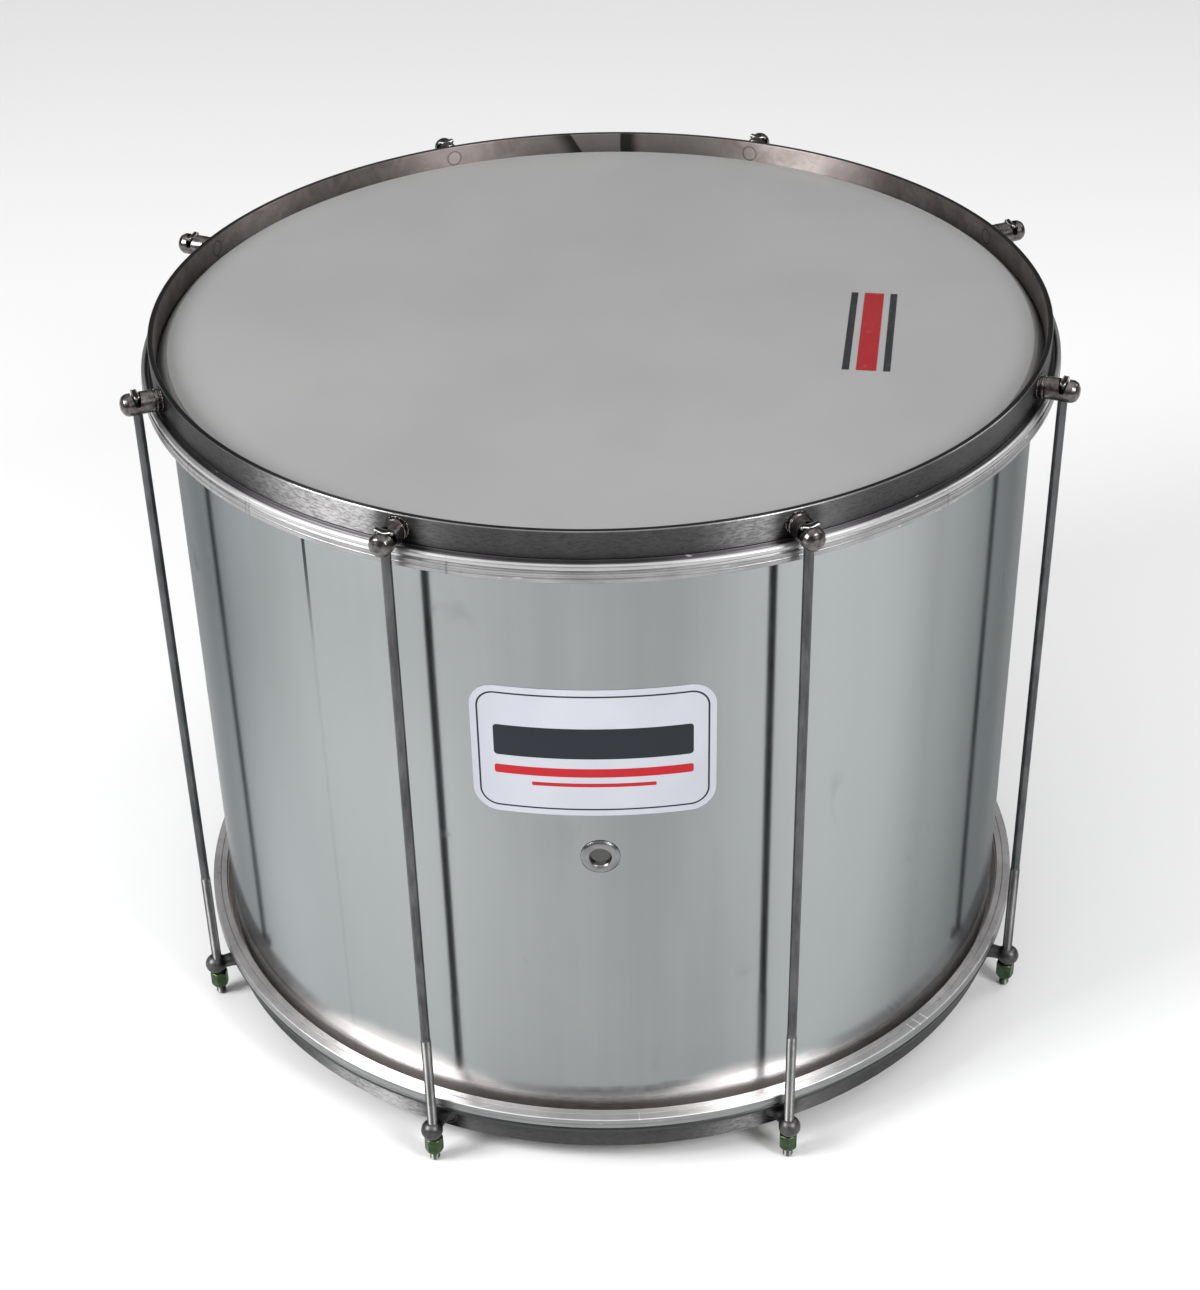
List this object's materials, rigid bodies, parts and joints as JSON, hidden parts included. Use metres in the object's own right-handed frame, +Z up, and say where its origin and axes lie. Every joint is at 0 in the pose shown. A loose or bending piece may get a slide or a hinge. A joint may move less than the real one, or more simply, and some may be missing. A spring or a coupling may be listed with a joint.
{
  "type": "surdo drum",
  "caption": "Cylindrical double-headed metal drum with flat-bar hoops, T-headed tension rods hung in notched posts, lower lugs, hex nuts and a side vent.",
  "frame": {"origin": "on the floor plane, under the centre of the drum, level with the lower ends of the tension rods", "axes": "+Z up along the drum's axis, -Y towards the vent and the label, +X to the right seen from the vent side"},
  "size_m": [0.5342, 0.5342, 0.4391],
  "materials": {
    "shell_aluminium": "polished with vertical streaks",
    "hoop_steel": "dark satin",
    "flesh_hoop_aluminium": "drawn, satin",
    "head_film": "milky film, semi-gloss",
    "post_steel": "turned and plated",
    "lug_steel": "dark, as forged and plated",
    "rod_steel": "drawn, zinc plated",
    "nut_green": "green plated",
    "eyelet_nickel": "nickel plated",
    "label_white": "printed vinyl"
  },
  "bodies": {
    "drum": {"shell": "shell_aluminium", "vent_eyelet": "eyelet_nickel", "shell_label": "label_white", "top_head": "head_film", "bottom_head": "head_film", "top_flesh_hoop": "flesh_hoop_aluminium", "bottom_flesh_hoop": "flesh_hoop_aluminium", "bottom_counterhoop": "hoop_steel", "bottom_lug_1": "lug_steel", "bottom_lug_2": "lug_steel", "bottom_lug_3": "lug_steel", "bottom_lug_4": "lug_steel", "bottom_lug_5": "lug_steel", "bottom_lug_6": "lug_steel", "bottom_lug_7": "lug_steel", "bottom_lug_8": "lug_steel"},
    "upper_hoop": {"top_counterhoop": "hoop_steel", "top_post_1": "post_steel", "top_post_2": "post_steel", "top_post_3": "post_steel", "top_post_4": "post_steel", "top_post_5": "post_steel", "top_post_6": "post_steel", "top_post_7": "post_steel", "top_post_8": "post_steel", "tension_rod_1": "rod_steel", "tension_rod_2": "rod_steel", "tension_rod_3": "rod_steel", "tension_rod_4": "rod_steel", "tension_rod_5": "rod_steel", "tension_rod_6": "rod_steel", "tension_rod_7": "rod_steel", "tension_rod_8": "rod_steel"},
    "nut_1": {"hex_nut_1": "nut_green"},
    "nut_2": {"hex_nut_2": "nut_green"},
    "nut_3": {"hex_nut_3": "nut_green"},
    "nut_4": {"hex_nut_4": "nut_green"},
    "nut_5": {"hex_nut_5": "nut_green"},
    "nut_6": {"hex_nut_6": "nut_green"},
    "nut_7": {"hex_nut_7": "nut_green"},
    "nut_8": {"hex_nut_8": "nut_green"}
  },
  "joints": [
    {"name": "top_hoop_slide", "type": "slide", "parent": "drum", "child": "upper_hoop", "axis": [0, 0, 1], "range_m": [0, 0.012]},
    {"name": "nut_1_turn", "type": "hinge", "parent": "drum", "child": "nut_1", "pos_m": [0.25407, 0.10524, 0.01175], "axis": [0, 0, 1], "range_deg": [-4320, 0]},
    {"name": "nut_2_turn", "type": "hinge", "parent": "drum", "child": "nut_2", "pos_m": [0.10524, 0.25407, 0.01175], "axis": [0, 0, 1], "range_deg": [-4320, 0]},
    {"name": "nut_3_turn", "type": "hinge", "parent": "drum", "child": "nut_3", "pos_m": [-0.10524, 0.25407, 0.01175], "axis": [0, 0, 1], "range_deg": [-4320, 0]},
    {"name": "nut_4_turn", "type": "hinge", "parent": "drum", "child": "nut_4", "pos_m": [-0.25407, 0.10524, 0.01175], "axis": [0, 0, 1], "range_deg": [-4320, 0]},
    {"name": "nut_5_turn", "type": "hinge", "parent": "drum", "child": "nut_5", "pos_m": [-0.25407, -0.10524, 0.01175], "axis": [0, 0, 1], "range_deg": [-4320, 0]},
    {"name": "nut_6_turn", "type": "hinge", "parent": "drum", "child": "nut_6", "pos_m": [-0.10524, -0.25407, 0.01175], "axis": [0, 0, 1], "range_deg": [-4320, 0]},
    {"name": "nut_7_turn", "type": "hinge", "parent": "drum", "child": "nut_7", "pos_m": [0.10524, -0.25407, 0.01175], "axis": [0, 0, 1], "range_deg": [-4320, 0]},
    {"name": "nut_8_turn", "type": "hinge", "parent": "drum", "child": "nut_8", "pos_m": [0.25407, -0.10524, 0.01175], "axis": [0, 0, 1], "range_deg": [-4320, 0]}
  ],
  "couplings": [
    {"joint": "nut_1_turn", "follows": "top_hoop_slide", "rad_per_m": -6283.1},
    {"joint": "nut_2_turn", "follows": "top_hoop_slide", "rad_per_m": -6283.1},
    {"joint": "nut_3_turn", "follows": "top_hoop_slide", "rad_per_m": -6283.1},
    {"joint": "nut_4_turn", "follows": "top_hoop_slide", "rad_per_m": -6283.1},
    {"joint": "nut_5_turn", "follows": "top_hoop_slide", "rad_per_m": -6283.1},
    {"joint": "nut_6_turn", "follows": "top_hoop_slide", "rad_per_m": -6283.1},
    {"joint": "nut_7_turn", "follows": "top_hoop_slide", "rad_per_m": -6283.1},
    {"joint": "nut_8_turn", "follows": "top_hoop_slide", "rad_per_m": -6283.1}
  ]
}
